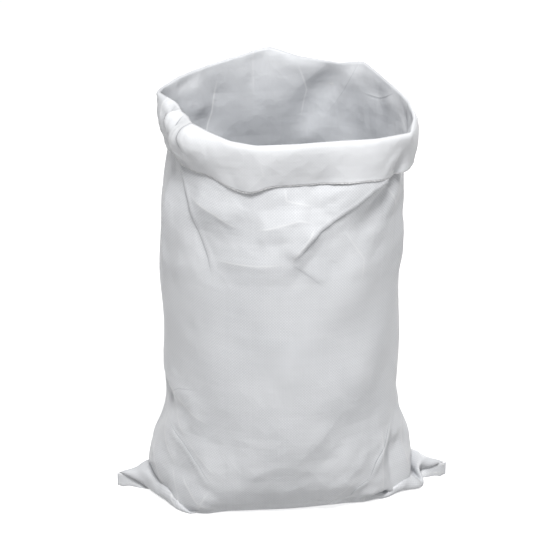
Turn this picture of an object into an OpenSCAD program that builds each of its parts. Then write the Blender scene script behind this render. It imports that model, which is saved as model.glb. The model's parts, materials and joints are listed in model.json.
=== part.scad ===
// Woven sack, standing open: a seamless tube of woven fabric, closed at the
// bottom by a folded hem with two rows of chain stitch, its mouth rolled out
// into a cuff. Millimetres, +Z up, +X right, +Y to the back. The origin is on
// the floor under the middle of the sack. The soft parts are plain solids of
// the right size and place, standing as they do when the sack holds goods.

/* [Body] */

// half of the body's width, side crease to side crease
half_width = 188; // [150:1:230]

// half of the body's depth, front to back
half_depth = 168; // [130:1:210]

// thickness the fabric is drawn at
skin = 2; // [1:0.1:3]

/* [Mouth] */

// height of the mouth at the middle of the front
mouth_front = 630; // [560:1:700]

// how much higher the middle of the back stands
mouth_rise = 67; // [0:1:100]

// how far the cuff hangs down at the front
cuff_front_drop = 68; // [40:1:100]

// how far the cuff hangs down at the back
cuff_back_drop = 42; // [20:1:80]

// room between the body and the cuff hanging over it
cuff_room = 4; // [2:0.5:10]

/* [Bottom] */

// height of the folded hem
hem_height = 23; // [15:0.5:35]

// thickness of the folded hem
hem_thick = 1.4; // [1:0.1:3]

// distance from the middle of the sack to the tip of each corner ear
ear_reach = 271; // [230:1:300]

// height at which an ear leaves the side of the body
ear_root = 96; // [60:1:130]

// thickness of the thread
thread = 0.8; // [0.4:0.1:1.2]

/* [Hidden] */

cloth = [0.87, 0.88, 0.90];
cloth_in = [0.80, 0.80, 0.81];
thread_white = [0.95, 0.95, 0.94];

// The body narrows towards the floor and is boxier there, where the fabric
// turns under and is drawn out towards the ears.
rings = [0, 6, 16, 32, 56, 90, 130, 190, 260, 330, 400, 460, 500, 540, 575, 605, 630];
side_by_z = [[0, 12], [6, 20], [16, 24], [32, 18], [56, 10], [90, 3], [130, -1], [190, 0], [700, 0]];
depth_by_z = [[0, -50], [6, -40], [16, -27], [32, -15], [56, -7], [90, -3], [130, -1], [190, 0], [700, 0]];
boxy_by_z = [[0, 2.6], [16, 2.5], [56, 2.3], [130, 2.1], [190, 2], [700, 2]];
straight_top = 480;   // above this the body eases into the shape of the mouth
mouth_z = 630;

// The mouth seen from above, from the right crease round the back: x, y and
// how far each point stands above the middle of the front, as a part of the rise.
mouth = [[188, 0, 0.33], [172, 45, 0.45], [142, 98, 0.67], [108, 117, 0.61], [45, 122, 0.75],
         [-10, 127, 1], [-42, 128, 0.94], [-100, 106, 0.78], [-150, 78, 0.63], [-190, 30, 0.45],
         [-181, 0, 0.37], [-165, -50, 0.30], [-148, -95, 0.22], [-126, -128, 0.18],
         [-97, -158, 0.07], [-60, -171, 0], [0, -168, 0], [65, -161, 0], [120, -150, -0.04],
         [178, -118, -0.07], [193, -72, 0.07], [194, -20, 0.24]];
left_crease = 10;
steps = 5;
count = len(mouth) * steps;
left_at = left_crease * steps;

function curve(a, b, c, d, t) =
    0.5 * (2 * b + (c - a) * t + (2 * a - 5 * b + 4 * c - d) * t * t
           + (3 * b - a - 3 * c + d) * t * t * t);
function mouth_at(i) = mouth[(i + len(mouth)) % len(mouth)];
rim = [for (i = [0:len(mouth) - 1], k = [0:steps - 1])
       let (p = curve(mouth_at(i - 1), mouth_at(i), mouth_at(i + 1), mouth_at(i + 2), k / steps))
       [p.x, p.y, mouth_front + mouth_rise * p.z]];
function rim_at(j) = rim[(j + count) % count];

// Direction pointing straight out of the mouth's edge. At the two side
// creases it is exactly sideways, so that the two panels part on one plane.
function outward(j) =
    let (jj = (j + count) % count)
    jj == 0 ? [1, 0] : jj == left_at ? [-1, 0] :
    let (d = rim_at(j + 1) - rim_at(j - 1), l = norm([d.x, d.y])) [d.y / l, -d.x / l];

function radius_at(angle, a, b, n) =
    1 / pow(pow(abs(cos(angle)) / a, n) + pow(abs(sin(angle)) / b, n), 1 / n);
function body_point(j, z, off) =
    let (r = rim_at(j), angle = atan2(r.y, r.x),
         a = half_width + lookup(z, side_by_z) + off,
         b = half_depth + lookup(z, depth_by_z) + off,
         rr = radius_at(angle, a, b, lookup(z, boxy_by_z)),
         t = max(0, (z - straight_top) / (mouth_z - straight_top)),
         w = t * t * (3 - 2 * t),
         out = outward(j))
    [(1 - w) * rr * cos(angle) + w * (r.x + off * out.x),
     (1 - w) * rr * sin(angle) + w * (r.y + off * out.y),
     t > 0 ? straight_top + t * (r.z - straight_top) : z];

// One closed outline per station, joined station to station into a solid. The
// first half of an outline runs up one side and the second half back down the
// other, so an end is closed by the strip between them.
module loft(stations, ring = false) {
    m = len(stations[0]);
    n = len(stations);
    last = ring ? n - 1 : n - 2;
    sides = [for (j = [0:last], i = [0:m - 1])
             let (k = (j + 1) % n, h = (i + 1) % m)
             each [[j * m + i, k * m + h, j * m + h], [j * m + i, k * m + i, k * m + h]]];
    strip = ring ? [] : [for (k = [0:m / 2 - 2])
                         each [[k, k + 1, m - 2 - k], [k, m - 2 - k, m - 1 - k]]];
    far = (n - 1) * m;
    far_strip = [for (f = strip) [f[2] + far, f[1] + far, f[0] + far]];
    polyhedron(points = [for (s = stations, p = s) p], faces = concat(sides, strip, far_strip),
               convexity = 10);
}

// Everything stands this far back, so that the origin is under the middle.
middle = 6.395;
module made(tone = cloth) { color(tone) translate([0, middle, 0]) children(); }

// Beside the ears the panels stop short of the floor, where the hem and its
// stitches pass out under them.
function foot_of(j) =
    let (k = (j + count) % count, n = min(abs(k - left_at), min(k, count - k)))
    n < 3 ? 6.4 : 0;
function lifted(j, z) = z < 32 ? foot_of(j) + z * (1 - foot_of(j) / 32) : z;
module panel(from, to) {
    loft([for (j = [from:to]) concat(
        [for (z = rings) body_point(j, lifted(j, z), 0)],
        [for (k = [len(rings) - 1:-1:0]) body_point(j, lifted(j, rings[k]), -skin)])]);
}

module front_panel() { made() panel(left_at, count); }
module back_panel() { made() panel(0, left_at); }

module base_outline() {
    polygon([for (j = [0:count - 1]) let (p = body_point(j, 0, -skin)) [p.x, p.y]]);
}
module base_strip(y0, y1, z0, z1) {
    translate([0, 0, z0]) linear_extrude(z1 - z0) intersection() {
        base_outline();
        translate([-250, y0]) square([500, y1 - y0]);
    }
}
hem_y = -hem_height - 3;
module base_front() {
    made() {
        base_strip(-200, hem_y - 1.5, 0, skin);
        base_strip(hem_y - 4, hem_y - 1.5, 0, 3 + skin);
        base_strip(hem_y - 4, 0, 3, 3 + skin);
    }
}
module base_back() {
    made() {
        base_strip(3, 200, 0, skin);
        base_strip(0, 3, 0, 3 + skin);
    }
}

// The hem lies folded flat under the body and stands on edge in the two ears.
hem_out = 214;
module bottom_hem() {
    made() {
        translate([-hem_out - 3, hem_y, thread]) cube([2 * hem_out + 6, hem_height, hem_thick]);
        for (s = [-1, 1])
            translate([s > 0 ? hem_out : -ear_reach, -hem_thick, thread])
                cube([ear_reach - hem_out, 2 * hem_thick, hem_height]);
        for (s = [-1, 1])
            translate([s > 0 ? hem_out : -hem_out - 3, -4, thread]) cube([3, 4 + hem_thick, hem_thick]);
    }
}

function ear_side(z) = half_width + lookup(z, side_by_z) + 0.1;
module ear_shape() {
    low = thread + hem_height;
    polygon([for (z = [ear_root, 80, 70, 60, 50, 40, 32, low]) [ear_side(z), z],
             [ear_reach, low], [ear_reach - 4, low + 3], [246, low + 12], [224, 50], [206, 70]]);
}
module ear(s) {
    translate([0, 2.4, 0]) rotate([90, 0, 0]) linear_extrude(4.8) scale([s, 1]) ear_shape();
}
module ear_left() { made() ear(-1); }
module ear_right() { made() ear(1); }

function crossed(a, b) = let (c = cross(a, b)) c / norm(c);
// A thread is one six-sided run through its points.
module run_of_thread(path) {
    n = len(path);
    loft([for (i = [0:n - 1])
          let (d = path[min(i + 1, n - 1)] - path[max(i - 1, 0)],
               side = crossed(d, [0, 0, 1]), up = crossed(side, d))
          [for (a = [0:60:300]) path[i] + thread / 2 * (cos(a) * side + sin(a) * up)]]);
}
// the needle thread shows on the upper and front side of the hem
module needle(across, up) {
    z = thread + hem_thick + thread / 2 + 0.02;
    y = -hem_thick - thread / 2 - 0.02;
    half = [[hem_out - 1, across, z], [hem_out + 4, y - 3, z + 0.6], [hem_out + 6, y, thread + up],
            [ear_reach - 1, y, thread + up]];
    run_of_thread(concat([for (i = [3:-1:0]) [-half[i].x, half[i].y, half[i].z]], half));
}
// the looper thread shows on the underside and the back of the hem
module looper(across, up) {
    z = thread / 2 - 0.02;
    y = hem_thick + thread / 2 + 0.02;
    half = [[hem_out - 1, across, z], [hem_out + 4, y + 0.5, z], [hem_out + 5, y, z + 1],
            [hem_out + 7, y, thread + up], [ear_reach - 1, y, thread + up]];
    run_of_thread(concat([for (i = [4:-1:0]) [-half[i].x, half[i].y, half[i].z]], half));
}
module upper_needle_thread() { made(thread_white) needle(-8, 18); }
module upper_looper_thread() { made(thread_white) looper(-8, 18); }
module lower_needle_thread() { made(thread_white) needle(-21, 5); }
module lower_looper_thread() { made(thread_white) looper(-21, 5); }

// How far the cuff hangs below the mouth, and how far it stands away.
edge_band = 6;
function drop_at(j) =
    let (r = rim_at(j), t = (r.z - mouth_front) / mouth_rise)
    cuff_front_drop + (cuff_back_drop - cuff_front_drop) * min(1, max(0, t))
    - (r.x > 150 ? 14 * min(1, (r.x - 150) / 30) : 0);
function flare_at(j) =
    let (r = rim_at(j)) 3 + (r.x < -140 ? 6 * min(1, (-140 - r.x) / 30) : 0)
    + (r.x > 150 ? 4 * min(1, (r.x - 150) / 30) : 0);
function placed(j, s) = let (r = rim_at(j), out = outward(j))
    [for (q = s) [r.x + q.x * out.x, r.y + q.x * out.y, r.z + q.y]];
function cuff_section(j) =
    let (g = cuff_room, f = flare_at(j), h = drop_at(j) - edge_band, s = skin)
    placed(j, [[g + f + s, -h], [g + s, -0.4 * h], [g + s, 0], [g + s - 0.6, 2.4], [g, 4], [1, 4],
               [-s + 0.4, 2.6], [-s, 0], [0, 0], [0.6, 1.6], [1.4, 2], [g - 0.8, 2], [g - 0.2, 1.2],
               [g, 0], [g, -0.4 * h], [g + f, -h]]);
function band_section(j) =
    let (g = cuff_room + flare_at(j), h = drop_at(j), s = skin)
    placed(j, [[g - 0.3, -h], [g + s + 0.3, -h], [g + s + 0.3, -h + edge_band], [g - 0.3, -h + edge_band]]);
module cuff(from, to) { loft([for (j = [from:to]) cuff_section(j)]); }
module cuff_right() { made() cuff(-3 * steps, 2 * steps); }
module cuff_back() { made() cuff(2 * steps, 8 * steps); }
module cuff_left() { made() cuff(8 * steps, 13 * steps); }
module cuff_front() { made() cuff(13 * steps, 19 * steps); }
module mouth_edge() { made(cloth_in) loft([for (j = [0:count - 1]) band_section(j)], ring = true); }

front_panel();
back_panel();
base_front();
base_back();
ear_left();
ear_right();
bottom_hem();
upper_needle_thread();
upper_looper_thread();
lower_needle_thread();
lower_looper_thread();
cuff_front();
cuff_right();
cuff_back();
cuff_left();
mouth_edge();
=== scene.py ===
"""A woven sack standing open, its mouth rolled out into a cuff.

The cloth is one seamless tube. It is laid out as a grid, round the tube and up
it, and relaxed as real cloth over the goods that hold it open. Metres, +Z up,
in the same frame as the solids.
"""
import json
import math

import bpy
import numpy as np
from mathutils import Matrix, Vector

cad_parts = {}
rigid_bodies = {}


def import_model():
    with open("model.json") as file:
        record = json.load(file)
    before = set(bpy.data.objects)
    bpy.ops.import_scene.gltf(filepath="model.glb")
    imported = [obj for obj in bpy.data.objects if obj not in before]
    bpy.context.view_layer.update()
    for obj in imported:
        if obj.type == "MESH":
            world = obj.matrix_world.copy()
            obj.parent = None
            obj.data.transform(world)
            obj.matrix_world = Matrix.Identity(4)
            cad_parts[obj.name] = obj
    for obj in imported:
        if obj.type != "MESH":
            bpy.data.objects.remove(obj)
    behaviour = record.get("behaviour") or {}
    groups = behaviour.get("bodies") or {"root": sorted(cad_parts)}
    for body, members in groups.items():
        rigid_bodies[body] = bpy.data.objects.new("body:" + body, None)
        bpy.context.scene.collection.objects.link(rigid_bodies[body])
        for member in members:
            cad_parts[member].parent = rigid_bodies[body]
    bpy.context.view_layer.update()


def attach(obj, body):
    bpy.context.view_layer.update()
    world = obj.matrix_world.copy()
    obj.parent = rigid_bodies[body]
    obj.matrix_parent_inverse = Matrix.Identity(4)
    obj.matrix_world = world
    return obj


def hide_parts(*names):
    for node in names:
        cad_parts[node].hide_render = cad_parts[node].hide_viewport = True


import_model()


scene = bpy.context.scene
MIDDLE = 0.0064              # the sack's own mid plane stands this far back of the origin


# ---------------------------------------------------------------- camera
def point_camera():
    azimuth, elevation, distance = math.radians(-8), math.radians(21.5), 2.8
    target = Vector((0, MIDDLE, 0.33))
    back = Vector((math.sin(azimuth) * math.cos(elevation),
                   -math.cos(azimuth) * math.cos(elevation), math.sin(elevation)))
    data = bpy.data.cameras.new("camera")
    data.lens, data.sensor_width = 114.5, 36
    data.shift_x, data.shift_y = -0.011, 0.029
    data.clip_start, data.clip_end = 0.05, 100
    camera = bpy.data.objects.new("camera", data)
    camera.location = target + back * distance
    camera.rotation_euler = (-back).to_track_quat("-Z", "Y").to_euler()
    scene.collection.objects.link(camera)
    scene.camera = camera


point_camera()


# ---------------------------------------------------------------- the cloth
TAPE = 0.0023                # width of one woven tape
CLOTH = 0.0005               # thickness of the woven cloth
GIRTH = 1.12                 # round the tube: the sack is 560 mm wide laid flat
HEM = 0.023                  # depth of the folded hem below the stitching
EAR_TIP = 0.272              # from the middle to the end of an ear

# The mouth seen from above, from the right crease round the back, in millimetres.
MOUTH = [(188, 0, 645), (172, 45, 656), (146, 97, 674), (112, 117, 668), (45, 122, 680),
         (-2, 128, 695), (-100, 106, 674), (-150, 78, 664), (-188, 32, 654),
         (-166, 4, 648), (-155, -40, 642), (-145, -93, 638), (-126, -128, 634), (-97, -158, 627),
         (-60, -171, 622), (0, -168, 621), (65, -161, 621), (120, -150, 619), (178, -118, 617),
         (193, -72, 627), (194, -20, 639)]
LEFT_CREASE = 9
RIM_ROUNDED = 0.15           # how far the rim bends softly instead of at sharp corners

# Lengths of cloth at stations round the tube: 0 is the left crease, 0.25 the
# middle of the front, 0.5 the right crease, 0.75 the middle of the back.
RUN_TO_RIM = [(0.0, 0.715), (0.12, 0.738), (0.25, 0.755), (0.38, 0.742), (0.5, 0.712),
              (0.62, 0.765), (0.75, 0.815), (0.88, 0.775)]
CUFF = [(0.0, 0.060), (0.08, 0.068), (0.11, 0.064), (0.162, 0.075), (0.205, 0.063),
        (0.4, 0.060), (0.5, 0.05), (0.62, 0.04), (0.75, 0.035), (0.88, 0.045)]

# The goods inside: half width, half depth and squareness by height.
HEIGHTS = [0.0, 0.02, 0.05, 0.09, 0.13, 0.19, 1.0]
HALF_WIDTH = [0.215, 0.209, 0.200, 0.192, 0.188, 0.188, 0.188]
HALF_DEPTH = [0.118, 0.136, 0.150, 0.160, 0.165, 0.168, 0.168]
BOXY = [3.2, 3.0, 2.6, 2.2, 2.05, 2.0, 2.0]

# Points of the cloth that the fold of the bottom holds: round, up, x, y, z.
CORNERS = [(0.133, 0.096, -0.147, -0.094, 0.002, 0.8), (0.28, 0.100, 0.0, -0.097, 0.002, 0.3),
           (0.40, 0.097, 0.125, -0.096, 0.002, 0.3), (0.487, 0.056, 0.208, -0.066, 0.002, 0.8)]


def ease(x, low, high):
    t = np.clip((x - low) / (high - low), 0, 1)
    return t * t * (3 - 2 * t)


def around(stations, u):
    """A value stated at a few stations round the tube, eased between them."""
    at = np.array([s[0] for s in stations])
    value = np.array([s[1] for s in stations])
    at = np.r_[at[-1] - 1, at, at[0] + 1]
    value = np.r_[value[-1], value, value[0]]
    k = np.clip(np.searchsorted(at, u, side="right") - 1, 0, len(at) - 2)
    t = (u - at[k]) / (at[k + 1] - at[k])
    return value[k] + t * t * (3 - 2 * t) * (value[k + 1] - value[k])


def even_steps(line, n, lead=0.0):
    """n points spaced evenly along a closed line, the first one lead along it."""
    s = np.r_[0, np.cumsum(np.linalg.norm(np.diff(line, axis=0), axis=1))]
    w = (np.arange(n) / n * s[-1] + lead) % s[-1]
    return np.stack([np.interp(w, s, line[:, k]) for k in range(line.shape[1])], 1)


def rim_line(n):
    """The rim as n points, starting where the left crease of the flat tube comes up to it."""
    p = np.roll(np.asarray(MOUTH, float) / 1000, -LEFT_CREASE, axis=0)
    a, b, c, d = np.roll(p, 1, 0), p, np.roll(p, -1, 0), np.roll(p, -2, 0)
    t = np.linspace(0, 1, 16, endpoint=False)[None, :, None]
    a, b, c, d = (q[:, None] for q in (a, b, c, d))
    curve = 0.5 * (2 * b + (c - a) * t + (2 * a - 5 * b + 4 * c - d) * t**2
                   + (3 * b - a - 3 * c + d) * t**3)
    straight = b + (c - b) * t
    curve = (RIM_ROUNDED * curve + (1 - RIM_ROUNDED) * straight).reshape(-1, 3)
    return even_steps(np.vstack([curve, curve[:1]]), n, lead=0.018)


def ear_plane(x):
    """How far forward the flat of an ear stands: the right one is bent forward."""
    return -0.038 * ease(x, 0.16, EAR_TIP)


class Tube:
    """The cloth as a grid: rows up the tube, columns round it."""

    def __init__(self, round_n, body_n, cuff_n):
        self.lay_out(round_n, body_n, cuff_n)
        self.at = self.opened()
        self.speed = np.zeros_like(self.at)

    def lay_out(self, round_n, body_n, cuff_n):
        self.n, self.body, self.cuff = round_n, body_n, cuff_n
        self.u = np.arange(round_n) / round_n
        run, self.drop = around(RUN_TO_RIM, self.u), around(CUFF, self.u)
        self.up = np.vstack([np.linspace(0, 1, body_n + 1)[:, None] * run,
                             run + np.linspace(0, 1, cuff_n + 1)[1:, None] * self.drop])
        flat = np.stack([np.broadcast_to(self.u * GIRTH, self.up.shape), self.up], -1)
        nxt = np.roll(flat, -1, axis=1)
        nxt[:, -1, 0] += GIRTH
        self.flat = flat
        self.rest_round = np.linalg.norm(nxt - flat, axis=2)
        self.rest_up = np.linalg.norm(flat[1:] - flat[:-1], axis=2)
        self.rest_right = np.linalg.norm(nxt[1:] - flat[:-1], axis=2)
        self.rest_left = np.linalg.norm(flat[1:] - nxt[:-1], axis=2)
        self.rim = rim_line(round_n)
        along = np.roll(self.rim, -1, 0) - np.roll(self.rim, 1, 0)
        out = np.stack([along[:, 1], -along[:, 0]], 1)
        out /= np.linalg.norm(out, axis=1)[:, None]
        for _ in range(round_n // 28):
            out = out + 0.5 * (np.roll(out, 1, 0) + np.roll(out, -1, 0))
            out /= np.linalg.norm(out, axis=1)[:, None]
        self.out = out
        self.side = np.where(self.u < 0.5, self.u * 2, 2 - self.u * 2)
        self.front = self.u < 0.5
        self.partner = (-np.arange(round_n)) % round_n
        x = (self.side - 0.5) * 2 * EAR_TIP
        lift = 0.002 + (HEM - 0.002) * ease(abs(self.side - 0.5), 0.36, 0.47)
        self.seam = np.stack([x, ear_plane(x), lift], 1)

    def opened(self):
        """A first shape: each column runs from the seam out to the wall and up to the rim."""
        t = np.linspace(np.pi, 3 * np.pi, 4001)
        oval = np.stack([HALF_WIDTH[-1] * np.cos(t), HALF_DEPTH[-1] * np.sin(t)], 1)
        ring = even_steps(oval, self.n)
        at = np.zeros(self.up.shape + (3,))
        for j in range(self.n):
            wall, seam, top = ring[j], self.seam[j], self.rim[j]
            ear = float(ease(abs(self.side[j] - 0.5), 0.30, 0.5))
            foot = wall * [0.98, 0.62] * (1 - ear) + ear * seam[:2] * 0.93
            knee = wall * [1.0, 0.90] * (1 - ear) + ear * np.array([seam[0] * 0.83, wall[1]])
            path = np.array([seam, [*foot, 0.002 + 0.02 * ear], [*knee, 0.045], [*wall, 0.11],
                             [*wall, 0.25], [*wall, 0.40], [*wall, 0.50],
                             0.5 * (np.r_[wall, 0.5] + top) + [0, 0, 0.01], top])
            s = np.r_[0, np.cumsum(np.linalg.norm(np.diff(path, axis=0), axis=1))]
            k = np.linspace(0, s[-1], 200)
            q = np.stack([np.interp(k, s, path[:, i]) for i in range(3)], 1)
            for _ in range(60):
                q[1:-1] += 0.25 * (q[2:] + q[:-2] - 2 * q[1:-1])
            s = np.r_[0, np.cumsum(np.linalg.norm(np.diff(q, axis=0), axis=1))]
            k = self.up[:self.body + 1, j] / self.up[self.body, j] * s[-1]
            at[:self.body + 1, j] = np.stack([np.interp(k, s, q[:, i]) for i in range(3)], 1)
        at[self.body + 1:] = self.hanging()
        return at

    def at_left_end(self, reach):
        """1 where the mouth's left end is bunched, falling away within the reach."""
        return np.exp(-(((self.u + 0.45) % 1 - 0.5) / reach) ** 2)

    def hanging(self):
        """Where the cuff wants to be: over the rim, then down outside the body."""
        rows = []
        roll = 0.003 + 0.024 * self.at_left_end(0.055)
        for k in range(1, self.cuff + 1):
            f = k / self.cuff
            q = self.rim.copy()
            q[:, :2] += self.out * (0.0042 - 0.002 * f + roll * math.sin(math.pi * f ** 0.7))[:, None]
            q[:, 2] -= self.drop * f - 0.003 * (1 - f)
            rows.append(q)
        return np.array(rows)

    def finer(self):
        """Twice as many rows and columns, through the same points."""
        a = self.at
        wide = np.empty((a.shape[0], self.n * 2, 3))
        wide[:, 0::2] = a
        wide[:, 1::2] = (9 * (a + np.roll(a, -1, 1)) - np.roll(a, 1, 1) - np.roll(a, -2, 1)) / 16
        up = np.vstack([wide[1:], 2 * wide[-1:] - wide[-2:-1]])
        down = np.vstack([2 * wide[:1] - wide[1:2], wide[:-1]])
        up2 = np.vstack([up[1:], 2 * up[-1:] - up[-2:-1]])
        between = (9 * (wide + up) - down - up2) / 16
        for i in (0, self.body - 1, self.body, len(wide) - 2):
            between[i] = 0.5 * (wide[i] + wide[i + 1])
        tall = np.empty((2 * a.shape[0] - 1, self.n * 2, 3))
        tall[0::2] = wide
        tall[1::2] = between[:-1]
        self.lay_out(self.n * 2, self.body * 2, self.cuff * 2)
        self.at = tall
        self.speed = np.zeros_like(tall)


def pull(a, b, rest, stretch, squeeze):
    """Moves two sets of points towards their distance in the flat cloth."""
    d = b - a
    length = np.sqrt((d * d).sum(-1)) + 1e-12
    off = (length - rest) / length
    off *= np.where(off > 0, stretch, squeeze) * 0.5
    d *= off[..., None]
    a += d
    b -= d


def weave_holds(c, stretch=1.0, squeeze=0.2, skew=0.3):
    """Tapes hardly stretch, and the weave leans more easily than it stretches."""
    at = c.at
    for r in (0, 1):
        n = (len(at) - r) // 2
        pull(at[r:r + 2 * n:2], at[r + 1:r + 1 + 2 * n:2], c.rest_up[r:r + 2 * n:2], stretch, squeeze)
    pull(at[:, 0::2], at[:, 1::2], c.rest_round[:, 0::2], stretch, squeeze)
    turned = np.roll(at, -1, axis=1)
    pull(turned[:, 0::2], turned[:, 1::2], np.roll(c.rest_round, -1, axis=1)[:, 0::2], stretch, squeeze)
    at[:] = np.roll(turned, 1, axis=1)
    for rest, turn in ((c.rest_right, -1), (c.rest_left, 1)):
        for r in (0, 1):
            n = (len(at) - r) // 2
            above = np.roll(at[r + 1:r + 1 + 2 * n:2], turn, axis=1)
            pull(at[r:r + 2 * n:2], above, np.roll(rest[r:r + 2 * n:2], max(turn, 0), axis=1), skew, skew)
            at[r + 1:r + 1 + 2 * n:2] = np.roll(above, -turn, axis=1)


def stiffen(c, k):
    """Evens out the bending, round the tube and then up it."""
    at = c.at
    d = np.roll(at, 1, 1) + np.roll(at, -1, 1) - 2 * at
    at += 0.5 * k * (d - 0.5 * (np.roll(d, 1, 1) + np.roll(d, -1, 1)))
    d = np.zeros_like(at)
    d[1:-1] = at[2:] + at[:-2] - 2 * at[1:-1]
    e = d.copy()
    e[1:] -= 0.5 * d[:-1]
    e[:-1] -= 0.5 * d[1:]
    at += 0.5 * k * e


def outward(at):
    """Outward direction at each grid point, as long as the cell there is large."""
    across = np.roll(at, -1, 1) - np.roll(at, 1, 1)
    up = np.empty_like(at)
    up[1:-1] = at[2:] - at[:-2]
    up[0], up[-1] = at[1] - at[0], at[-1] - at[-2]
    return np.cross(across, up)


def facing_out(at):
    n = outward(at)
    return n / (np.linalg.norm(n, axis=-1, keepdims=True) + 1e-15)


def goods_hold(c, guide):
    """The goods keep the body to its girth, and the floor side to its footprint."""
    at = c.at[:c.body]
    z = at[..., 2]
    wide = np.interp(z, HEIGHTS, HALF_WIDTH) + 0.003 * (at[..., 0] < 0) * ease(z, 0.25, 0.4)
    deep, boxy = np.interp(z, HEIGHTS, HALF_DEPTH), np.interp(z, HEIGHTS, BOXY)
    r = ((np.abs(at[..., 0]) / wide) ** boxy + (np.abs(at[..., 1]) / deep) ** boxy + 1e-12) ** (1 / boxy)
    body = ease(z, 0.10, 0.18)
    hold = guide * (body + 3 * (r > 1) * (1 - body) * (1 - ease(np.abs(at[..., 0]), 0.185, 0.21)))
    hold *= 1 - ease(z, 0.40, 0.52)
    at[..., :2] += (hold * (1 / r - 1))[..., None] * at[..., :2]


def ears_lie_flat(c, calm):
    """The two layers of an ear lie on each other and don't pass through."""
    low = c.at[1:c.body // 3]
    x, gap = low[..., 0], 0.0007
    flat, ear = ear_plane(x), (np.abs(x) > 0.19) & (low[..., 2] < 0.12)
    low[..., 1] = np.where(ear & c.front, np.minimum(low[..., 1], flat - gap), low[..., 1])
    low[..., 1] = np.where(ear & ~c.front, np.maximum(low[..., 1], flat + gap), low[..., 1])
    soft = (calm * ease(np.abs(x), 0.215, 0.235) * (low[..., 2] < 0.12))[..., None]
    low += soft * (0.5 * (np.roll(low, 1, 1) + np.roll(low, -1, 1)) - low)
    low[1:-1] += soft[1:-1] * (0.25 * (low[2:] + low[:-2]) - 0.5 * low[1:-1])


def cuff_hangs(c, goal, hold):
    """The rim goes to its line, and the cuff falls outside the wall and stays off it."""
    at, m = c.at, c.body
    at[m] += 0.3 * (c.rim - at[m])
    at[m + 1:] += hold * (goal - at[m + 1:])
    wall = at[m - c.cuff:m][::-1]
    gap = ((at[m + 1:, :, :2] - wall[..., :2]) * c.out).sum(-1)
    least = np.linspace(0.004, 0.0018, c.cuff)[:, None]
    at[m + 1:, :, :2] += (np.clip(least - gap, 0, None) * 0.5)[..., None] * c.out


def relax(c, steps, step, push, stiff, floor=0.0015, guide=0.03, calm=0.15):
    """Lets the cloth settle: the goods press outwards, the floor and its own weave hold it."""
    cell = (GIRTH / c.n) * (0.76 / c.body) * 4
    goal, fill = c.hanging(), 0.42
    corners = []
    for round_at, up_at, x, y, z, hold in CORNERS:
        d = np.abs(c.flat[..., 0] - round_at)
        w = hold * np.exp(-(np.minimum(d, GIRTH - d)**2 + (c.flat[..., 1] - up_at)**2) / 0.03**2)
        corners.append((w > 0.02, w[w > 0.02][:, None] * 0.3,
                        np.unravel_index(np.argmax(w), w.shape), np.array([x, y, z])))
    for _ in range(steps):
        before = c.at.copy()
        press = push * np.clip((fill - c.at[..., 2]) / fill, 0, 1)
        press[c.body + 1:] = 0
        press *= 1 - ease(np.abs(c.at[..., 0]), 0.203, 0.222)
        force = outward(c.at) / cell * press[..., None]
        force[..., 2] -= 6.0
        c.speed = c.speed * 0.96 + force * step
        c.speed *= np.minimum(1, 1 / (np.linalg.norm(c.speed, axis=2, keepdims=True) + 1e-9))
        c.at = c.at + c.speed * step
        for _ in range(4):
            weave_holds(c)
            stiffen(c, stiff)
            goods_hold(c, guide)
            row = 0.5 * (c.at[0] + c.at[0][c.partner])
            c.at[0] = row + 0.3 * (c.seam - row)
            ears_lie_flat(c, calm)
            cuff_hangs(c, goal, 0.05)
            for near, weight, tip, place in corners:
                c.at[near] += weight * (place - c.at[tip])
            c.at[..., 2] = np.maximum(c.at[..., 2], floor)
        c.speed = (c.at - before) / step
        c.speed[c.at[..., 2] <= floor + 1e-5] *= 0.7


def settled_cloth():
    """The relaxed cloth: a coarse grid first, then twice as fine, then twice again."""
    c = Tube(56, 38, 4)
    relax(c, 400, 0.004, 45, 0.03)
    c.finer()
    relax(c, 250, 0.0025, 25, 0.05)
    c.finer()
    relax(c, 100, 0.0015, 10, 0.08)
    return c


# ---------------------------------------------------------------- creases
# Lines in the flat cloth, in millimetres round the tube from its left crease and up from
# the seam. A fold is a layer lying over, proud on its right-hand side as one goes along the
# line. A ridge stands up on both sides, and a negative one is a valley. Then come its rise
# and its width.
FOLDS = [
    ([(146, 525), (136, 555), (118, 590), (96, 622), (76, 644), (60, 662), (48, 692)], 2.2, 46),
    ([(444, 680), (412, 672), (390, 666), (355, 644), (308, 616), (264, 567)], 3.2, 52),
    ([(318, 530), (300, 545), (265, 571)], 1.0, 18),
    ([(405, 178), (418, 205), (470, 262)], 3.2, 24),
    ([(372, 150), (382, 172), (407, 182)], 2.4, 14),
    ([(50, 262), (95, 240), (128, 212), (158, 182)], 2.8, 30),
    ([(598, 717), (640, 716), (682, 724)], -2.6, 22),
    ([(752, 688), (720, 728), (690, 772)], -1.1, 36),
    ([(22, 480), (34, 560), (24, 640)], 1.6, 30), ([(536, 640), (524, 570), (538, 500)], 1.4, 26),
    ([(36, 300), (70, 322), (115, 336)], 1.5, 26),
    ([(1066, 742), (1072, 768), (1090, 782), (1104, 772)], 2.2, 12),
    ([(16, 716), (26, 744), (20, 774)], 4.0, 14), ([(44, 720), (56, 744), (50, 780)], 3.6, 14),
    ([(84, 722), (80, 752), (96, 784)], 3.0, 16),
]
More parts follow.
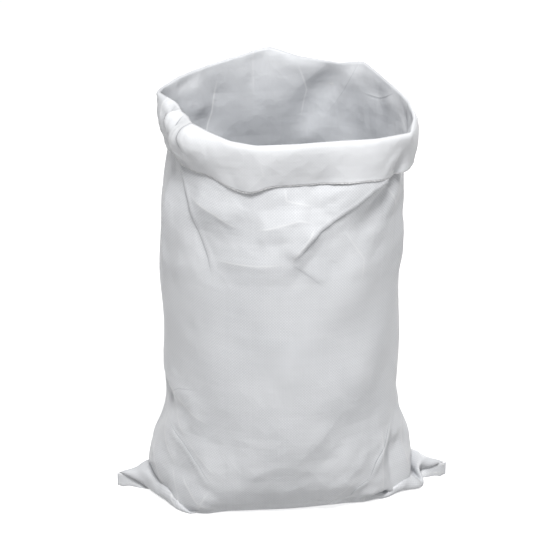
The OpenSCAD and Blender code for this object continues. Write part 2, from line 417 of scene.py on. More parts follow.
RIDGES = [
    ([(92, 640), (150, 628), (190, 612)], 3.0, 22), ([(160, 676), (192, 650), (215, 645)], -1.2, 22),
    ([(208, 616), (275, 636), (302, 630)], 2.2, 18), ([(302, 630), (285, 600), (264, 571)], 2.4, 16),
    ([(145, 556), (200, 562), (262, 570)], 2.2, 20), ([(100, 618), (150, 560), (190, 600)], -1.6, 30),
    ([(320, 672), (330, 650), (310, 632)], -2.0, 20), ([(400, 690), (440, 650), (470, 600)], 2.0, 22),
    ([(250, 690), (255, 665), (300, 655)], 1.8, 22), ([(345, 620), (385, 560), (380, 520)], 1.5, 26),
    ([(15, 640), (35, 560), (20, 470)], 2.0, 22), ([(520, 640), (500, 560), (515, 480)], 2.2, 22),
    ([(1085, 304), (5, 298), (50, 290)], -4.5, 12), ([(0, 245), (6, 170), (1116, 105)], 1.2, 26),
    ([(560, 235), (554, 165), (560, 105)], 1.6, 26), ([(10, 322), (80, 306), (150, 284)], 2.0, 20),
    ([(24, 290), (70, 292), (120, 286)], -2.4, 18),
    ([(30, 270), (60, 230), (90, 190)], 2.6, 20), ([(45, 300), (110, 240), (180, 190)], 1.7, 22),
    ([(95, 190), (130, 150), (165, 130)], 2.2, 18), ([(20, 230), (50, 180), (60, 130)], 3.0, 20),
    ([(440, 262), (432, 200), (430, 130)], 2.2, 16), ([(465, 235), (455, 180), (462, 110)], -3.0, 18),
    ([(500, 250), (490, 180), (500, 110)], 3.0, 20), ([(385, 200), (350, 160), (330, 130)], 1.8, 18),
    ([(535, 300), (515, 250), (480, 215)], 2.0, 18), ([(420, 160), (400, 130), (390, 105)], 2.2, 14),
    ([(841, 838), (842, 790), (843, 700)], -1.4, 9), ([(872, 835), (868, 740)], 1.0, 12),
    ([(1112, 70), (20, 80), (70, 90), (133, 97)], 2.6, 14), ([(486, 60), (530, 70), (560, 72)], 1.6, 12),
    ([(133, 97), (128, 130), (150, 180)], 1.6, 16), ([(60, 95), (62, 140), (45, 190)], -2.0, 16),
    ([(100, 100), (95, 150), (75, 200)], 1.4, 16), ([(20, 85), (30, 130), (18, 200)], -1.6, 16),
    ([(688, 775), (720, 730), (752, 688), (770, 640)], -2.2, 12),
    ([(800, 800), (780, 740), (790, 690)], 1.8, 20),
    ([(930, 770), (935, 710), (950, 660)], 2.6, 22), ([(985, 770), (965, 735), (955, 700)], -2.6, 16),
    ([(640, 770), (615, 730), (600, 680)], -2.2, 18), ([(720, 690), (760, 660), (800, 650)], -1.6, 18),
    ([(1045, 775), (1065, 740), (1075, 690)], -3.0, 10), ([(1085, 790), (1092, 745), (1100, 690)], 3.2, 9),
    ([(1110, 785), (1114, 735), (8, 680)], -3.4, 8), ([(12, 790), (16, 740), (40, 690)], 3.4, 8),
    ([(34, 800), (42, 745), (66, 700)], -3.2, 8), ([(60, 795), (72, 750), (88, 700)], 2.0, 11),
    ([(530, 770), (525, 720), (500, 660)], 2.0, 14), ([(1108, 795), (1116, 760), (1112, 715)], 1.6, 10),
    ([(120, 815), (150, 780), (150, 745)], -1.0, 16), ([(180, 820), (215, 790), (205, 760)], 0.9, 18),
    ([(225, 815), (260, 795), (300, 800)], -1.1, 20), ([(340, 765), (350, 790), (370, 800)], -1.6, 14),
    ([(420, 770), (440, 790), (480, 795)], 1.0, 16),
]


SMALL_CREASES, LOW_WAVES = 230, 14
FOLD_FADES = 0.011           # a fold's or a crest's line is lost this far away from it
RIDGE_RISE, RIDGE_SPREAD = 2.3, 1.6


def along_line(line, u, v):
    """Distance from a line in the flat cloth (positive on its right), and how far along."""
    line = np.asarray(line, float) / 1000
    line[:, 0] = np.unwrap(line[:, 0], period=GIRTH)
    steps = np.linalg.norm(np.diff(line, axis=0), axis=1)
    start = np.r_[0, np.cumsum(steps)]
    best, side, along = np.full(u.shape, 9.0), np.ones(u.shape), np.zeros(u.shape)
    for (a, b), step, s in zip(zip(line[:-1], line[1:]), steps, start):
        way = (b - a) / step
        du = (u - a[0] + GIRTH / 2) % GIRTH - GIRTH / 2
        dv = v - a[1]
        t = np.clip(du * way[0] + dv * way[1], 0, step)
        off = np.hypot(du - t * way[0], dv - t * way[1])
        near = off < best
        best = np.where(near, off, best)
        side = np.where(near, np.sign(du * way[1] - dv * way[0] + 1e-12), side)
        along = np.where(near, (s + t) / start[-1], along)
    return best * side, along


def creased(grid, flat, run):
    """Presses the creases into the cloth. Also gives where folds and crests run, and how strongly."""
    u, v = flat[..., 0], flat[..., 1]
    rise, sharp, depth = np.zeros(u.shape), np.full(u.shape, 0.05), np.zeros(u.shape)
    crest, worn_and_highlit = sharp.copy(), depth.copy()
    for line, height, width in FOLDS:
        off, t = along_line(line, u, v)
        amount = ease(t, 0.0, 0.22) * ease(1 - t, 0.0, 0.25)
        step = 0.5 + 0.5 * np.tanh(off / 0.003)
        rise += amount * height / 1000 * (step * np.exp(-np.abs(off) * 1000 / width)
                                          - 0.3 * (1 - step) * np.exp(-np.abs(off) * 2500 / width))
        near = np.abs(off) < np.abs(sharp)
        sharp = np.where(near, off, sharp)
        shown = amount * height / 3.4 * ease(1 - np.abs(off) / FOLD_FADES, 0, 0.5)
        depth = np.where(near, shown, depth)
    for line, height, width in RIDGES:
        off, t = along_line(line, u, v)
        rise += RIDGE_RISE * height / 1000 * ease(t, 0, 0.3) * ease(1 - t, 0, 0.3) \
            * np.clip(1 - np.abs(off) * 1000 / (RIDGE_SPREAD * width), 0, 1)
        # where a crest runs the colour is lightened: the whitening of creased plastic and a painted
        # highlight
        near = (np.abs(off) < np.abs(crest)) & (height > 0)
        crest = np.where(near, off, crest)
        fade = ease(t, 0, 0.25) * ease(1 - t, 0, 0.25) * ease(1 - np.abs(off) / FOLD_FADES, 0, 0.5)
        worn_and_highlit = np.where(near, min(height / 2.5, 1) * fade, worn_and_highlit)
    chance = np.random.default_rng(11)
    for _ in range(SMALL_CREASES):
        high = chance.choice([0.62, 0.75, 0.20, 0.42], p=[0.36, 0.24, 0.26, 0.14])
        at = np.array([chance.uniform(0, GIRTH), high + chance.normal(0, 0.055)])
        turn, length = chance.uniform(0.3, 2.85), chance.uniform(0.018, 0.065)
        way = np.array([math.cos(turn), math.sin(turn)]) * length
        off, t = along_line([at * 1000 - way * 1000, at * 1000 + way * 1000], u, v)
        height = chance.uniform(0.8, 3.0) * chance.choice([-1, 1]) * (0.6 if high == 0.42 else 1)
        if at[0] > GIRTH / 2 and high > 0.5:
            height *= 0.4                      # the upper back is calmer
        elif high > 0.7:
            height *= 0.5
        rise += height / 1000 * ease(t, 0, 0.45) * ease(1 - t, 0, 0.45) \
            * np.clip(1 - np.abs(off) / chance.uniform(0.012, 0.034), 0, 1)
    for _ in range(LOW_WAVES):
        turns, up, phase = chance.integers(-9, 10), chance.uniform(5, 45), chance.uniform(0, 6.3)
        rise += 0.0005 * np.sin(2 * np.pi * turns * u / GIRTH + up * v + phase)
    rise *= ease(v, 0.03, 0.085) * np.where(grid[..., 2] < 0.012, 0.3, 1)
    in_front = ease(u, 0.10, 0.16) * (1 - ease(u, 0.45, 0.50))
    rise *= 1 - 0.5 * in_front * np.exp(-((v - run) / 0.06) ** 4)
    rise *= 1 - 0.85 * np.exp(-((v - run) / 0.008) ** 2)
    for j in range(len(run)):                  # the cuff lies over whatever the wall does
        cuff = v[:, j] > run[j]
        wall = np.interp(2 * run[j] - v[cuff, j], v[~cuff, j], rise[~cuff, j])
        rise[cuff, j] = -np.maximum(rise[cuff, j], wall)     # its other face is turned out
    marks = {"fold_line": sharp, "fold_depth": depth, "crest_line": crest, "crest_wear_and_highlight": worn_and_highlit}
    return grid + facing_out(grid) * rise[..., None], marks


def in_between(a, at, axis, closed):
    """The grid's values at fractional rows or columns, on a smooth curve through them."""
    n, k = a.shape[axis], np.floor(at).astype(int)
    t = (at - k).reshape([-1 if i == axis else 1 for i in range(a.ndim)])
    pick = [np.take(a, (k + d) % n if closed else np.clip(k + d, 0, n - 1), axis) for d in (-1, 0, 1, 2)]
    p, q, r, s = pick
    return 0.5 * (2 * q + (r - p) * t + (2 * p - 5 * q + 4 * r - s) * t**2 + (3 * q - p - 3 * r + s) * t**3)


def spaced(stations, n):
    """n + 1 places over a range, closer together where the stations' weight is greater."""
    x = np.linspace(0, 1, 2001)
    s = np.r_[0, np.cumsum(np.interp(0.5 * (x[1:] + x[:-1]), *np.transpose(stations)))]
    return np.interp(np.linspace(0, 1, n + 1), s / s[-1], x)


SPREAD_LEFT, SPREAD_RIGHT = 0.017, 0.011      # how far the sides flare above the ears
# The two folded tips at the front of the bottom: where in the flat cloth, and where they lie.
BOTTOM_TIPS = [((0.133, 0.096), (-0.151, -0.112, 0.002)), ((0.487, 0.056), (0.211, -0.084, 0.002))]


def finished(c):
    """Sharpens the rim, lays the cuff on the wall and spreads the sides down to the ears."""
    rows_off = np.abs(np.arange(len(c.at)) - c.body)
    c.at += np.exp(-(rows_off / 3.5) ** 1.5)[:, None, None] * (c.rim - c.at[c.body])
    c.at[..., 2] += 0.0034 * np.exp(-(rows_off / 1.1))[:, None]
    wall, fall = c.at[c.body - c.cuff:c.body][::-1], np.linspace(0, 1, c.cuff)[:, None]
    gap = ((c.at[c.body + 1:, :, :2] - wall[..., :2]) * c.out).sum(-1)
    flush = 0.5 + 0.5 * ease(c.u, 0.04, 0.10) * (1 - ease(c.u, 0.41, 0.45))
    flush *= 1 - c.at_left_end(0.045)
    back = np.minimum(0.0013 - gap[-1], 0) * flush * fall
    back = np.maximum(back, np.minimum(0.0016 - gap, 0))
    c.at[c.body + 1:, :, :2] += back[..., None] * c.out
    corner = np.interp(c.u, [0.33, 0.44, 0.49], [0, 1, 0])[None, :, None] * fall[..., None]
    c.at[c.body + 1:] += corner * (0.007, -0.009, -0.007)   # it stands off the wall at the right
    x, z = c.at[..., 0], c.at[..., 2]
    from_left = np.minimum(c.u, 1 - c.u) * GIRTH
    for side, off, reach in ((-1, from_left, SPREAD_LEFT), (1, GIRTH / 2 - from_left, SPREAD_RIGHT)):
        high = ease(z, 0.012, 0.05) * ease(0.165 - z, 0, 0.075)
        out = reach * high * np.exp(-(off / 0.075) ** 2) * (1 - ease(np.abs(x), 0.222, 0.25))
        x += side * out * (z < 0.2)
    for (round_at, up_at), place in BOTTOM_TIPS:
        off = np.hypot(c.flat[..., 0] - round_at, c.flat[..., 1] - up_at)
        tip = c.at[np.unravel_index(np.argmin(off), off.shape)]
        c.at += np.clip(1 - off / 0.055, 0, 1)[..., None] ** 1.3 * (np.array(place) - tip)
    c.at[..., 2] = np.maximum(c.at[..., 2], 0.0012)
    return c


def cloth_grid(c):
    """The settled cloth on a grid that is finer in front and where it is creased."""
    wide = spaced([(0, 2.0), (0.5, 2.0), (0.505, 1.0), (0.995, 1.0), (1, 2.0)], 240)[:-1] * c.n
    tall = spaced([(0, 1.1), (0.05, 1.6), (0.3, 1.3), (0.45, 1.0), (0.6, 1.1), (0.7, 2.0), (1, 2.0)], 190)
    tall = tall * (len(c.at) - 1)
    grid = in_between(in_between(c.at, wide, 1, True), tall, 0, False)
    up = in_between(in_between(c.up, wide, 1, True), tall, 0, False)
    flat = np.stack([np.broadcast_to(wide / c.n * GIRTH, up.shape), up], -1)
    grid[0, :, 1] += np.where(wide < c.n / 2, -0.0004, 0.0004)
    return grid, flat, in_between(c.up[c.body], wide, 0, True)


# ---------------------------------------------------------------- meshes
def mesh_piece(name, verts, quads, coords):
    """A piece from its points, four-sided faces and the cloth's own coordinates at their corners."""
    mesh = bpy.data.meshes.new(name)
    quads = np.asarray(quads, dtype=np.int32)
    mesh.vertices.add(len(verts))
    mesh.vertices.foreach_set("co", np.asarray(verts, dtype=np.float32).ravel())
    mesh.loops.add(quads.size)
    mesh.loops.foreach_set("vertex_index", quads.ravel())
    mesh.polygons.add(len(quads))
    mesh.polygons.foreach_set("loop_start", np.arange(0, quads.size, 4, dtype=np.int32))
    mesh.polygons.foreach_set("use_smooth", np.ones(len(quads), dtype=bool))
    layer = mesh.uv_layers.new(name="cloth_map")
    layer.data.foreach_set("uv", np.asarray(coords, dtype=np.float32).ravel())
    mesh.update(calc_edges=True)
    mesh.validate()
    piece = bpy.data.objects.new(name, mesh)
    scene.collection.objects.link(piece)
    return piece


def tube_quads(rows, cols):
    """Faces of a grid whose columns run all the way round: the row and column of each corner."""
    i, j = np.meshgrid(np.arange(rows - 1), np.arange(cols), indexing="ij")
    i, j = i.ravel(), j.ravel()
    return [(i, j), (i, j + 1), (i + 1, j + 1), (i + 1, j)]


def closed_skin(name, grid, flat, thick, **marks):
    """A thin closed solid from the cloth's grid, carrying marks: a number at each point."""
    rows, cols = grid.shape[:2]
    flat = np.concatenate([flat, flat[:, :1] + [GIRTH, 0]], 1)
    half = facing_out(grid) * thick / 2
    verts = np.vstack([(grid + half).reshape(-1, 3), (grid - half).reshape(-1, 3)]) + [0, MIDDLE, 0]
    corners = tube_quads(rows, cols)
    face = np.stack([r * cols + q % cols for r, q in corners], 1)
    coord = np.stack([flat[r, q] for r, q in corners], 1)
    faces, coords = [face, face[:, ::-1] + rows * cols], [coord, coord[:, ::-1]]
    q = np.arange(cols)
    for r, turn in ((0, -1), (rows - 1, 1)):
        a, b = r * cols + q, r * cols + (q + 1) % cols
        faces.append(np.stack([a, b, b + rows * cols, a + rows * cols], 1)[:, ::turn])
        coords.append(np.stack([flat[r, q], flat[r, q + 1], flat[r, q + 1], flat[r, q]], 1)[:, ::turn])
    piece = mesh_piece(name, verts, np.vstack(faces), np.vstack(coords))
    for label, values in marks.items():
        mark = piece.data.attributes.new(label, "FLOAT", "POINT")
        mark.data.foreach_set("value", np.tile(values.ravel(), 2).astype(np.float32))
    inside = piece.data.attributes.new("inner_face", "FLOAT", "POINT")
    inside.data.foreach_set("value", np.repeat([0.0, 1.0], rows * cols).astype(np.float32))
    return piece


def strip(name, sections, coords):
    """A solid swept through sections (stations, points round, 3), with flat ends."""
    rows, cols = sections.shape[:2]
    corners = tube_quads(rows, cols)
    face = np.stack([r * cols + q % cols for r, q in corners], 1)
    coord = np.stack([coords[r, q] for r, q in corners], 1)
    k = np.arange(cols // 2 - 1)
    for r, turn in ((0, 1), (rows - 1, -1)):
        end = r * cols + np.stack([k, k + 1, cols - 2 - k, cols - 1 - k], 1)[:, ::turn]
        face = np.vstack([face, end])
        coord = np.vstack([coord, coords[r, end - r * cols]])
    return mesh_piece(name, sections.reshape(-1, 3) + [0, MIDDLE, 0], face, coord)


# ---------------------------------------------------------------- hem
def hem_path(c):
    """The seam from ear to ear, with the way down the hem and the way out of its face."""
    half = c.n // 2
    seam = c.at[0, :half + 1].copy()
    seam[:, 0] = np.linspace(-EAR_TIP, EAR_TIP, half + 1)
    rise = np.clip((seam[:, 2] - 0.0009) / (HEM - 0.0009), 0, 1)
    level = np.sqrt(1 - rise**2)
    zero = np.zeros_like(rise)
    down = np.stack([zero, -level, -rise], 1)
    face = np.stack([zero, -rise, level], 1)
    return seam, down, face


def hem_piece(c):
    """The folded hem: a flat strip below the seam, its lower edge rounded."""
    seam, down, face = hem_path(c)
    half_thick, rounded = 0.0007, 0.0005
    length = HEM - 0.0004
    steps = np.linspace(0.001, length - rounded, 9)
    front = [(s, half_thick) for s in steps] + [(length, half_thick - rounded)]
    section = np.array(front + [(s, -n) for s, n in front[::-1]])
    s, n = section[:, 0], section[:, 1]
    points = seam[:, None] + down[:, None] * s[None, :, None] + face[:, None] * n[None, :, None]
    points[..., 2] = np.maximum(points[..., 2], 0.0002)
    along = np.broadcast_to(seam[:, None, 0] + 0.3, points.shape[:2])
    round_it = np.broadcast_to(np.r_[s[:len(front)], 2 * length - s[len(front):]], points.shape[:2])
    coords = np.stack([along, round_it], -1)
    coords = np.concatenate([coords, coords[:, :1]], 1)
    return strip("bottom_hem_cloth", points, coords)


def hem_line(c, depth, side):
    """A line along the hem at a depth below the seam, on its front (1) or back (-1) face."""
    seam, down, face = hem_path(c)
    line = seam + down * depth + face * side * 0.00085 + [0, MIDDLE, 0]
    inside = np.abs(seam[:, 0]) < EAR_TIP - 0.003
    return line[inside], face[inside] * side


# ---------------------------------------------------------------- stitches
class Tree:
    """A Geometry Nodes tree. add() makes a node: settings first, then what goes into it."""

    def __init__(self, name, **inputs):
        self.group = bpy.data.node_groups.new(name, "GeometryNodeTree")
        side = self.group.interface
        side.new_socket("Geometry", in_out="INPUT", socket_type="NodeSocketGeometry")
        self.ids = {}
        for label, (kind, value) in inputs.items():
            made = side.new_socket(label, in_out="INPUT", socket_type="NodeSocket" + kind)
            self.ids[label] = (made.identifier, value)
        side.new_socket("Geometry", in_out="OUTPUT", socket_type="NodeSocketGeometry")
        self.start = self.group.nodes.new("NodeGroupInput")
        self.end = self.group.nodes.new("NodeGroupOutput")

    def add(self, kind, settings=None, **inputs):
        node = self.group.nodes.new(kind)
        for key, value in (settings or {}).items():
            setattr(node, key, value)
        for key, value in inputs.items():
            slot = node.inputs[int(key[1:])] if key[0] == "_" else node.inputs[key.replace("_", " ")]
            if isinstance(value, bpy.types.NodeSocket):
                self.group.links.new(value, slot)
            else:
                slot.default_value = value
        return node.outputs

    def given(self, label):
        return self.start.outputs[label]

    def stations(self):
        """The line as a curve, spots a pitch apart on it, and how they turn to face out."""
        line = self.add("GeometryNodeMeshToCurve", Mesh=self.given("Geometry"))["Curve"]
        spots = self.add("GeometryNodeCurveToPoints", {"mode": "LENGTH"}, Curve=line,
                         Length=self.given("Pitch"))
        facing = self.add("GeometryNodeInputNamedAttribute", {"data_type": "FLOAT_VECTOR"}, Name="facing")
        turn = self.add("FunctionNodeAlignRotationToVector", {"axis": "X"}, Vector=spots["Tangent"])
        turn = self.add("FunctionNodeAlignRotationToVector", {"axis": "Z", "pivot_axis": "X"},
                        Rotation=turn["Rotation"], Vector=facing["Attribute"])
        return line, spots["Points"], turn["Rotation"]

    def ends_in(self, geometry):
        done = self.add("GeometryNodeSetMaterial", Geometry=geometry, Material=self.given("Finish"))
        self.group.links.new(done["Geometry"], self.end.inputs["Geometry"])

    def plain_mesh(self, piece):
        """Runs the tree on a piece and keeps the result as a plain mesh."""
        step = piece.modifiers.new("made", "NODES")
        step.node_group = self.group
        for identifier, value in self.ids.values():
            step[identifier] = value
        bpy.context.view_layer.update()
        finished_piece = piece.evaluated_get(bpy.context.evaluated_depsgraph_get())
        made = bpy.data.meshes.new_from_object(finished_piece)
        piece.modifiers.clear()
        old, piece.data = piece.data, made
        made.name = piece.name
        bpy.data.meshes.remove(old)
        return piece


def line_piece(name, points, normals, closed=False):
    """A bare line that a tree works on, with the way that each of its points faces."""
    mesh = bpy.data.meshes.new(name)
    n = len(points)
    edges = [(k, (k + 1) % n) for k in range(n if closed else n - 1)]
    mesh.from_pydata([tuple(p) for p in points], edges, [])
    facing = mesh.attributes.new("facing", "FLOAT_VECTOR", "POINT")
    facing.data.foreach_set("vector", np.asarray(normals, dtype=np.float32).ravel())
    piece = bpy.data.objects.new(name, mesh)
    scene.collection.objects.link(piece)
    return piece


def sewn(name, points, normals, finish, looped):
    """A row of stitches along a line: single dashes in front, linked loops behind."""
    t = Tree("sewing", Pitch=("Float", 0.0078), Thread=("Float", 0.00036), Seed=("Int", 7 + looped),
             Finish=("Material", finish))
    line, spots, turn = t.stations()
    wire = t.add("GeometryNodeCurvePrimitiveCircle", Resolution=7, Radius=t.given("Thread"))["Curve"]
    if looped:
        ring = t.add("GeometryNodeCurvePrimitiveCircle", Resolution=18, Radius=0.5)["Curve"]
        shape = t.add("GeometryNodeTransform", Geometry=ring, Scale=(0.0098, 0.0026, 1.0))["Geometry"]
    else:
        shape = t.add("GeometryNodeCurvePrimitiveBezierSegment", Resolution=9,
                      Start=(-0.0033, 0, -0.0007), Start_Handle=(-0.0026, 0, 0.0004),
                      End_Handle=(0.0026, 0, 0.0004), End=(0.0033, 0, -0.0007))["Curve"]
    stitch = t.add("GeometryNodeCurveToMesh", Curve=shape, Profile_Curve=wire, Fill_Caps=True)["Mesh"]
    size = t.add("FunctionNodeRandomValue", {"data_type": "FLOAT"}, _2=0.93, _3=1.07,
                 Seed=t.given("Seed"))
    row = t.add("GeometryNodeInstanceOnPoints", Points=spots, Instance=stitch,
                Rotation=turn, Scale=size["Value"])["Instances"]
    sway = t.add("FunctionNodeRandomValue", {"data_type": "FLOAT"}, _2=-0.06, _3=0.06,
                 Seed=t.given("Seed"))
    sway = t.add("ShaderNodeCombineXYZ", Z=sway["Value"])["Vector"]
    row = t.add("GeometryNodeRotateInstances", Instances=row, Rotation=sway)["Instances"]
    real = t.add("GeometryNodeRealizeInstances", Geometry=row)["Geometry"]
    t.ends_in(t.add("GeometryNodeSetShadeSmooth", Geometry=real)["Geometry"])
    return t.plain_mesh(line_piece(name, points, normals))


# ---------------------------------------------------------------- the cut edge
def cut_edge(grid, finish):
    """The hot-cut end of the cloth: a thin bead, with the ends of the tapes standing in it."""
    t = Tree("cut end", Pitch=("Float", TAPE), Width=("Float", 0.9 * TAPE), Long=("Float", 0.0014),
             Thick=("Float", 0.0006), Seed=("Int", 3), Finish=("Material", finish))
    line, spots, turn = t.stations()
    size = t.add("ShaderNodeCombineXYZ", X=t.given("Width"), Y=t.given("Long"), Z=t.given("Thick"))
    tape = t.add("GeometryNodeMeshCube", Size=size["Vector"], Vertices_X=2, Vertices_Y=2,
                 Vertices_Z=2)["Mesh"]
    jitter = t.add("FunctionNodeRandomValue", {"data_type": "FLOAT_VECTOR"}, _0=(0.95, 0.6, 0.7),
                   _1=(1.08, 1.5, 1.1), Seed=t.given("Seed"))
    ends = t.add("GeometryNodeInstanceOnPoints", Points=spots, Instance=tape,
                 Rotation=turn, Scale=jitter["Value"])["Instances"]
    tilt = t.add("FunctionNodeRandomValue", {"data_type": "FLOAT_VECTOR"}, _0=(-0.2, -0.12, -0.1),
                 _1=(0.2, 0.12, 0.1), Seed=t.given("Seed"))
    ends = t.add("GeometryNodeRotateInstances", Instances=ends, Rotation=tilt["Value"])["Instances"]
    ends = t.add("GeometryNodeRealizeInstances", Geometry=ends)["Geometry"]
    bead = t.add("GeometryNodeCurvePrimitiveCircle", Resolution=8, Radius=0.00033)["Curve"]
    bead = t.add("GeometryNodeCurveToMesh", Curve=line, Profile_Curve=bead, Fill_Caps=True)["Mesh"]
    bead = t.add("GeometryNodeSetShadeSmooth", Geometry=bead)["Geometry"]
    both = t.group.nodes.new("GeometryNodeJoinGeometry")
    t.group.links.new(bead, both.inputs[0])
    t.group.links.new(ends, both.inputs[0])
    t.ends_in(both.outputs[0])
    points, normals = grid[-1] + [0, MIDDLE, 0], facing_out(grid)[-1]
    return t.plain_mesh(line_piece("mouth_cut_edge", points, normals, closed=True))


# ---------------------------------------------------------------- materials
class Paint:
    """A material. add() makes a node: settings first, then what goes into it."""

    def __init__(self, name):
        self.material = bpy.data.materials.new(name)
        self.material.use_nodes = True
        self.nodes, self.links = self.material.node_tree.nodes, self.material.node_tree.links
        self.surface = self.nodes["Principled BSDF"]
        self.result = self.nodes["Material Output"]

    def join(self, value, slot):
        if isinstance(value, Number):
            value = value.socket
        if isinstance(value, bpy.types.NodeSocket):
            self.links.new(value, slot)
        else:
            slot.default_value = value

    def add(self, kind, settings=None, **inputs):
        node = self.nodes.new(kind)
        for key, value in (settings or {}).items():
            setattr(node, key, value)
        for key, value in inputs.items():
            self.join(value, node.inputs[int(key[1:])] if key[0] == "_"
                      else node.inputs[key.replace("_", " ")])
        return node.outputs

    def number(self, socket):
        return Number(self, socket)

    def set(self, **inputs):
        for key, value in inputs.items():
            self.join(value, self.surface.inputs[key.replace("_", " ")])

    def blend(self, amount, a, b):
        """Colour a where amount is 0, b where it is 1."""
        node = self.nodes.new("ShaderNodeMix")
        node.data_type = "RGBA"
        self.join(amount, node.inputs["Factor"])
        colours = [s for s in node.inputs if s.type == "RGBA"]
        self.join(a, colours[0])
        self.join(b, colours[1])
        return next(s for s in node.outputs if s.type == "RGBA")


class Number:
    """A number on its way through a material, so that its maths can be written as maths."""

    def __init__(self, paint, socket):
        self.paint, self.socket = paint, socket

    def maths(self, operation, *others):
        inputs = {f"_{k}": v for k, v in enumerate((self, *others))}
        return Number(self.paint, self.paint.add("ShaderNodeMath", {"operation": operation}, **inputs)[0])

    def turned(self, operation, other):
        return Number(self.paint, self.paint.add("ShaderNodeMath", {"operation": operation},
                                                 _0=other, _1=self)[0])

    def __add__(self, o): return self.maths("ADD", o)
    def __radd__(self, o): return self.maths("ADD", o)
    def __sub__(self, o): return self.maths("SUBTRACT", o)
    def __rsub__(self, o): return self.turned("SUBTRACT", o)
    def __mul__(self, o): return self.maths("MULTIPLY", o)
    def __rmul__(self, o): return self.maths("MULTIPLY", o)
    def __truediv__(self, o): return self.maths("DIVIDE", o)
    def __rtruediv__(self, o): return self.turned("DIVIDE", o)
    def __pow__(self, o): return self.maths("POWER", o)
    def __abs__(self): return self.maths("ABSOLUTE")

    def whole(self): return self.maths("FLOOR")
    def part(self): return self.maths("FRACT")
    def at_most(self, o): return self.maths("MINIMUM", o)
    def at_least(self, o): return self.maths("MAXIMUM", o)

    def mix(self, a, b):
        return a + (b - a) * self


def cloud(p, place, scale, detail):
    """Soft noise, as fine as its scale is large."""
    noise = p.add("ShaderNodeTexNoise", {"noise_dimensions": "3D"}, Vector=place,
                  Scale=scale, Detail=detail)
    return p.number(noise["Fac"])


def mark(p, label):
    """A number that the cloth carries at each of its points."""
    return p.number(p.add("ShaderNodeAttribute", {"attribute_name": label})["Fac"])


def raised(p, height, strength, distance, **below):
    """A relief that only the light sees, over the one below it if there is one."""
    return p.add("ShaderNodeBump", {}, Strength=strength, Distance=distance, Height=height,
                 **below)["Normal"]


def woven(name, light, shade, through=0.15, folds=False):
    """Flat plastic tapes woven one over one, much smoother on the inner face."""
    p = Paint(name)
    at = p.add("ShaderNodeSeparateXYZ", Vector=p.add("ShaderNodeUVMap", {"uv_map": "cloth_map"})["UV"])
    x, y = p.number(at["X"]) / TAPE, p.number(at["Y"]) / TAPE
    smooth = mark(p, "inner_face")
    clear = 1 - 0.72 * smooth
    across, along = (x.part() - 0.5) * 2, (y.part() - 0.5) * 2
    over = ((x.whole() + y.whole()) / 2).part() * 2
    up_tape = (1 - across ** 4) * (1 - 0.55 * along * along)
    round_tape = (1 - along ** 4) * (1 - 0.55 * across * across)
    height = over.mix(round_tape, up_tape)
    # each tape is its own shade, and the cloth is a little cloudy
    by_tape = p.add("ShaderNodeCombineXYZ", X=over.mix(y.whole(), x.whole()), Y=over * 37)["Vector"]
    own = p.number(p.add("ShaderNodeTexWhiteNoise", {"noise_dimensions": "3D"}, Vector=by_tape)["Value"])
    place = p.add("ShaderNodeTexCoord")["Object"]
    cloudy = cloud(p, place, 9.0, 3.0)
    # the over term gives warp-over and weft-over cells different lightness: a painted sheen standing in for
    # their different gloss
    tone = 0.71 + 0.16 * (own - 0.5) * clear + 0.46 * (over - 0.5) * clear + 0.9 * (cloudy - 0.5)
    # darker where the tapes dip at their edges: painted shade in the hollows of the weave
    gap = (1 - height) ** 3 * clear
    # the inner face is lighter; over the back half it is darker, and darker still low down inside: painted
    # shade inside the sack
    spot = p.add("ShaderNodeSeparateXYZ", Vector=place)
    at_height, rear = p.number(spot["Z"]), (p.number(spot["Y"]) / 0.05).at_least(0).at_most(1)
    low_inside_shade = ((0.665 - at_height) / 0.085).at_least(0).at_most(1) * rear
    tone = tone + smooth * (0.25 - 0.4 * rear - 0.7 * low_inside_shade)
    tone = (tone - 0.5 * gap).at_least(0).at_most(1)
    # creased plastic is flat between sharp lines, most of all near the mouth and the bottom
    worked = (abs(at_height - 0.33) * 4.5 + 0.15).at_most(1)
    facets = [p.number(p.add("ShaderNodeTexVoronoi", {"distance": "MANHATTAN"}, Vector=place,
                             Scale=size)["Distance"]) for size in (13.0, 31.0)]
    crinkle = (facets[0] + 0.35 * facets[1]) * worked
    bump = raised(p, cloud(p, place, 55.0, 3.0), 0.3, 0.0012)
    bump = raised(p, crinkle, 0.35, 0.007, Normal=bump)
    if folds:                                  # a fold throws a thin line of shadow
        off, deep = mark(p, "fold_line"), mark(p, "fold_depth")
        step = ((off / 0.0014).at_least(-1).at_most(1) * 0.5 + 0.5) * deep
        bump = raised(p, step, 0.6, 0.0014, Normal=bump)
        under = (1 - abs(off + 0.0006) / 0.0013).at_least(0) * abs(deep)
        tone = (tone - 0.9 * under).at_least(0)
        dark = (0.5 * under).at_most(0.6)
    colour = p.blend(tone, (*shade, 1), (*light, 1))
    if folds:                                  # and a sharp crest is lighter: creased plastic whitens there, and the line is also a painted highlight along the crest
        off, wear_and_highlight = mark(p, "crest_line"), mark(p, "crest_wear_and_highlight")
        pale = ((1 - abs(off) / 0.0022).at_least(0) * wear_and_highlight * 0.8).at_most(0.8)
        colour = p.blend(pale, colour, (0.93, 0.935, 0.945, 1))
        # the fold's thin line of painted shadow darkens the colour as well
        colour = p.blend(dark, colour, (0.30, 0.31, 0.33, 1))
    p.set(Base_Color=colour, Roughness=0.33 + 0.12 * own, IOR=1.49)
    p.set(Specular_IOR_Level=0.5)
    bump = raised(p, height * clear, 0.45, 0.00014, Normal=bump)
    p.set(Normal=bump)
    glow = p.add("ShaderNodeBsdfTranslucent", {}, Color=(*light, 1), Normal=bump)["BSDF"]
    shown = p.add("ShaderNodeMixShader", {}, _0=through, _1=p.surface.outputs["BSDF"], _2=glow)["Shader"]
    p.links.new(shown, p.result.inputs["Surface"])
    return p.material


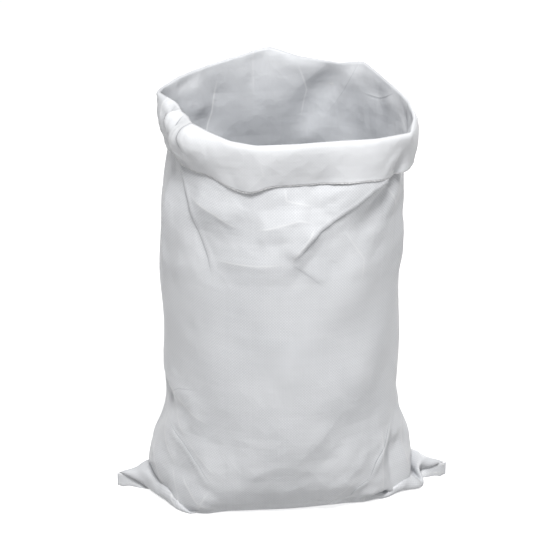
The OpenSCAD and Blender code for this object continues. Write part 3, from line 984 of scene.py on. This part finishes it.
def thread_finish():
    """Spun thread: fine twisted ridges and a dry look."""
    p = Paint("spun_thread")
    place = p.add("ShaderNodeTexCoord")["Object"]
    fibre = cloud(p, place, 2600.0, 2.0)
    colour = p.blend(fibre, (0.74, 0.74, 0.73, 1), (0.93, 0.93, 0.92, 1))
    p.set(Base_Color=colour, Roughness=0.7 + 0.15 * fibre)
    p.set(Normal=raised(p, fibre, 0.4, 0.00008))
    return p.material


def edge_finish():
    """Where the tapes were cut they are whiter, with slightly darker fused spots."""
    p = Paint("cut_tape_ends")
    place = p.add("ShaderNodeTexCoord")["Object"]
    spots = cloud(p, place, 330.0, 3.0)
    colour = p.blend(((spots - 0.35) * 3).at_least(0).at_most(1), (0.60, 0.60, 0.60, 1),
                     (0.86, 0.86, 0.87, 1))
    p.set(Base_Color=colour, Roughness=0.5 + 0.2 * spots)
    p.set(Normal=raised(p, spots, 0.4, 0.0003))
    return p.material


# ---------------------------------------------------------------- the pieces
def dressed(piece, material, slot, *nodes):
    """Gives a piece its finish, hides the nodes that it stands for and fixes it to the root body; its slot
    is not used.
    """
    piece.data.materials.clear()
    piece.data.materials.append(material)
    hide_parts(*nodes)
    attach(piece, "root")
    return piece


tube = settled_cloth()
grid, flat, run = cloth_grid(finished(tube))
grid, marks = creased(grid, flat, run)
skin = closed_skin("woven_tube", grid, flat, CLOTH, **marks)
cloth = dressed(skin, woven("woven_tapes", (0.84, 0.85, 0.87), (0.64, 0.655, 0.68), folds=True),
                "woven_cloth", "front_panel", "back_panel", "base_front", "base_back", "ear_left",
                "ear_right", "cuff_front", "cuff_right", "cuff_back", "cuff_left")
# the hem is the same cloth in darker colours: painted shade low down by the floor
hem = dressed(hem_piece(tube), woven("woven_tapes_hem", (0.78, 0.79, 0.81), (0.58, 0.59, 0.61), 0.1),
              "woven_cloth", "bottom_hem")
spun = thread_finish()
STITCH_ROWS = {"upper": 0.0042, "lower": 0.0172}       # how far below the seam each row runs
for place, depth in STITCH_ROWS.items():
    for kind, side in (("needle", 1), ("looper", -1)):
        row = sewn(f"{place}_{kind}_stitches", *hem_line(tube, depth, side), spun, side < 0)
        dressed(row, spun, "thread", f"{place}_{kind}_thread")
ends = edge_finish()
edge = dressed(cut_edge(grid, ends), ends, "cut_edge", "mouth_edge")


# ---------------------------------------------------------------- floor and light
def floor_finish():
    p = Paint("pale_floor")
    place = p.add("ShaderNodeTexCoord")["Object"]
    grain = cloud(p, place, 40.0, 2.0)
    p.set(Base_Color=(0.90, 0.90, 0.90, 1), Roughness=0.85 + 0.1 * grain)
    p.set(Emission_Color=(1, 1, 1, 1), Emission_Strength=0.6)
    return p.material


def softbox(name, at, towards, size, power):
    data = bpy.data.lights.new(name, "AREA")
    data.shape, data.size, data.size_y, data.energy = "RECTANGLE", *size, power
    lamp = bpy.data.objects.new(name, data)
    lamp.location = at
    lamp.rotation_euler = (Vector(towards) - Vector(at)).to_track_quat("-Z", "Y").to_euler()
    scene.collection.objects.link(lamp)


floor_mesh = bpy.data.meshes.new("floor")
FLOOR_REACH = 25
floor_mesh.from_pydata([(x * FLOOR_REACH, y * FLOOR_REACH, 0)
                        for x, y in ((-1, -1), (1, -1), (1, 1), (-1, 1))], [], [(0, 1, 2, 3)])
floor = bpy.data.objects.new("floor", floor_mesh)
floor_mesh.materials.append(floor_finish())
floor.visible_diffuse = False                # it looks white but doesn't light the sack from below
scene.collection.objects.link(floor)

sky = bpy.data.worlds.new("white_room")
sky.use_nodes = True
sky.node_tree.nodes["Background"].inputs["Color"].default_value = (1, 1, 1, 1)
sky.node_tree.nodes["Background"].inputs["Strength"].default_value = 0.42
scene.world = sky
softbox("overhead", (-0.12, -1.35, 2.3), (0, 0, 0.4), (0.6, 0.6), 52)
softbox("behind", (1.2, 2.7, 0.8), (0, 0, 0.35), (1.4, 1.4), 24)
scene.view_settings.view_transform = "Standard"
